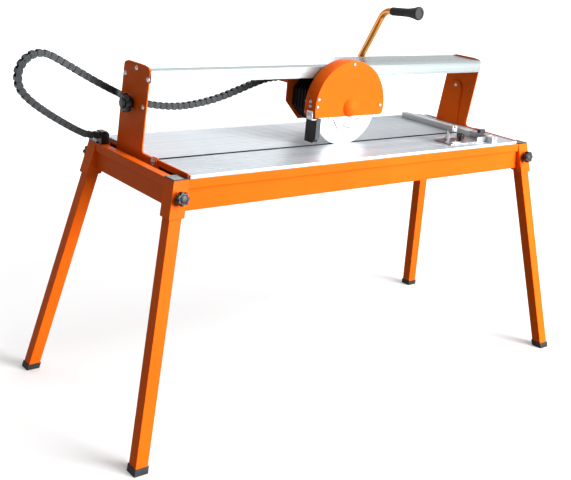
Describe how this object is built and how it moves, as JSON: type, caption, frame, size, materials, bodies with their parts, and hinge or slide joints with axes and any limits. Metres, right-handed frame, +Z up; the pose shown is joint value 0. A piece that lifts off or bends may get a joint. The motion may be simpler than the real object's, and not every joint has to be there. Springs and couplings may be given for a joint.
{
  "type": "tile cutter",
  "caption": "Orange bridge tile cutter on four splayed legs, with an aluminium beam, a sliding motor head, a mitre stop and a cable chain.",
  "frame": {"origin": "on the floor, under the middle of the rim and legs", "axes": "+X along the cut towards the fence end, +Y to the back where the beam stands, +Z up"},
  "size_m": [1.4742, 0.5924, 0.9595],
  "materials": {
    "orange_paint": "gloss powder coat",
    "aluminium": "extruded, satin anodised",
    "steel": "zinc plated",
    "blade_steel": "ground, diamond rim",
    "black_plastic": "moulded, fine texture",
    "gloss_black": "moulded, glossy",
    "rubber": "moulded rubber",
    "copper_paint": "metallic paint",
    "motor_paint": "satin black",
    "iron": "laminated iron",
    "clear_plastic": "translucent white",
    "red_plastic": "moulded red"
  },
  "bodies": {
    "frame": {"rim_rails": "orange_paint", "leg_sockets": "orange_paint", "socket_caps": "gloss_black", "water_tray": "steel", "drain_plug": "rubber", "pump_body": "black_plastic", "table_front": "aluminium", "table_back": "aluminium", "end_plate_left": "orange_paint", "end_plate_right": "orange_paint", "pivot_bolts": "steel", "fence_back": "aluminium", "fence_front": "aluminium", "chain_anchor": "black_plastic", "chain_loop": "black_plastic"},
    "bridge": {"upright_left": "orange_paint", "upright_right": "orange_paint", "beam": "aluminium", "bridge_screws": "steel", "chain_run": "black_plastic"},
    "head": {"carriage_plate": "orange_paint", "roller_axles": "steel", "motor_shell": "motor_paint", "motor_stator": "iron", "motor_bearings": "steel", "guard_shell": "orange_paint", "guard_cover": "orange_paint", "guard_screws": "steel", "splash_block": "rubber", "splash_plate": "steel", "handle_tube": "copper_paint", "handle_grip": "rubber", "switch_box": "black_plastic", "water_tap": "clear_plastic"},
    "spindle": {"rotor": "steel", "blade": "blade_steel", "blade_flanges": "steel", "arbor_nut": "steel"},
    "roller_left": {"roller_left": "black_plastic"},
    "roller_right": {"roller_right": "black_plastic"},
    "tilt_knob_left": {"tilt_knob_left": "black_plastic"},
    "tilt_knob_right": {"tilt_knob_right": "black_plastic"},
    "tap_lever": {"tap_lever": "clear_plastic"},
    "switch_rocker": {"switch_rocker": "red_plastic"},
    "stop_slide": {"stop_slide": "steel"},
    "stop_arm": {"stop_arm": "steel"},
    "stop_knob": {"stop_knob": "black_plastic"},
    "arm_knob": {"arm_knob": "gloss_black"},
    "leg_front_left": {"leg_front_left": "orange_paint", "foot_front_left": "rubber"},
    "leg_knob_front_left": {"leg_knob_front_left": "black_plastic"},
    "leg_front_right": {"leg_front_right": "orange_paint", "foot_front_right": "rubber"},
    "leg_knob_front_right": {"leg_knob_front_right": "black_plastic"},
    "leg_back_left": {"leg_back_left": "orange_paint", "foot_back_left": "rubber"},
    "leg_knob_back_left": {"leg_knob_back_left": "black_plastic"},
    "leg_back_right": {"leg_back_right": "orange_paint", "foot_back_right": "rubber"},
    "leg_knob_back_right": {"leg_knob_back_right": "black_plastic"}
  },
  "joints": [
    {"name": "bridge_tilt", "type": "hinge", "parent": "frame", "child": "bridge", "pos_m": [0, -0.047, 0.611], "axis": [1, 0, 0], "range_deg": [0, 45], "deforming": ["chain_loop"]},
    {"name": "head_slide", "type": "slide", "parent": "bridge", "child": "head", "axis": [1, 0, 0], "range_m": [-0.375, 0.315], "deforming": ["chain_run"]},
    {"name": "spindle_spin", "type": "hinge", "parent": "head", "child": "spindle", "pos_m": [0.012, -0.047, 0.7095], "axis": [0, 1, 0], "continuous": true},
    {"name": "roller_left_spin", "type": "hinge", "parent": "head", "child": "roller_left", "pos_m": [-0.04, 0.0848, 0.794], "axis": [0, 1, 0], "range_deg": [-3000, 3000]},
    {"name": "roller_right_spin", "type": "hinge", "parent": "head", "child": "roller_right", "pos_m": [0.162, 0.0848, 0.794], "axis": [0, 1, 0], "range_deg": [-3000, 3000]},
    {"name": "leg_front_left_draw", "type": "slide", "parent": "frame", "child": "leg_front_left", "axis": [-0.2042, -0.1661, -0.9647], "range_m": [0, 0.085]},
    {"name": "leg_knob_front_left_turn", "type": "hinge", "parent": "frame", "child": "leg_knob_front_left", "pos_m": [-0.55862, -0.2002, 0.571], "axis": [0, -0.9855, 0.1697], "range_deg": [0, 720]},
    {"name": "leg_front_right_draw", "type": "slide", "parent": "frame", "child": "leg_front_right", "axis": [0.2042, -0.1661, -0.9647], "range_m": [0, 0.085]},
    {"name": "leg_knob_front_right_turn", "type": "hinge", "parent": "frame", "child": "leg_knob_front_right", "pos_m": [0.55862, -0.2002, 0.571], "axis": [0, -0.9855, 0.1697], "range_deg": [0, 720]},
    {"name": "leg_back_left_draw", "type": "slide", "parent": "frame", "child": "leg_back_left", "axis": [-0.2042, 0.1661, -0.9647], "range_m": [0, 0.085]},
    {"name": "leg_knob_back_left_turn", "type": "hinge", "parent": "frame", "child": "leg_knob_back_left", "pos_m": [-0.55862, 0.2002, 0.571], "axis": [0, 0.9855, 0.1697], "range_deg": [0, 720]},
    {"name": "leg_back_right_draw", "type": "slide", "parent": "frame", "child": "leg_back_right", "axis": [0.2042, 0.1661, -0.9647], "range_m": [0, 0.085]},
    {"name": "leg_knob_back_right_turn", "type": "hinge", "parent": "frame", "child": "leg_knob_back_right", "pos_m": [0.55862, 0.2002, 0.571], "axis": [0, 0.9855, 0.1697], "range_deg": [0, 720]},
    {"name": "tilt_knob_left_turn", "type": "hinge", "parent": "bridge", "child": "tilt_knob_left", "pos_m": [-0.535, 0.057, 0.72], "axis": [-1, 0, 0], "range_deg": [0, 540]},
    {"name": "tilt_knob_right_turn", "type": "hinge", "parent": "bridge", "child": "tilt_knob_right", "pos_m": [0.535, 0.057, 0.72], "axis": [1, 0, 0], "range_deg": [0, 540]},
    {"name": "tap_lever_turn", "type": "hinge", "parent": "head", "child": "tap_lever", "pos_m": [-0.074, -0.011, 0.7155], "axis": [0, 0, -1], "range_deg": [0, 90]},
    {"name": "switch_rock", "type": "hinge", "parent": "head", "child": "switch_rocker", "pos_m": [0.087, 0.134, 0.771], "axis": [1, 0, 0], "range_deg": [0, 16]},
    {"name": "stop_slide_move", "type": "slide", "parent": "frame", "child": "stop_slide", "axis": [0, 1, 0], "range_m": [-0.02, 0.018]},
    {"name": "stop_arm_turn", "type": "hinge", "parent": "stop_slide", "child": "stop_arm", "pos_m": [0.327, -0.113, 0.618], "axis": [0, 0, 1], "range_deg": [-40, 40]},
    {"name": "stop_knob_turn", "type": "hinge", "parent": "stop_slide", "child": "stop_knob", "pos_m": [0.439, -0.135, 0.632], "axis": [0, 0, 1], "range_deg": [0, 360]},
    {"name": "arm_knob_turn", "type": "hinge", "parent": "stop_slide", "child": "arm_knob", "pos_m": [0.35014, -0.14058, 0.62], "axis": [0, 0, 1], "range_deg": [0, 360]}
  ],
  "couplings": [
    {"joint": "roller_left_spin", "follows": "head_slide", "rad_per_m": 129.87},
    {"joint": "roller_right_spin", "follows": "head_slide", "rad_per_m": 129.87}
  ]
}
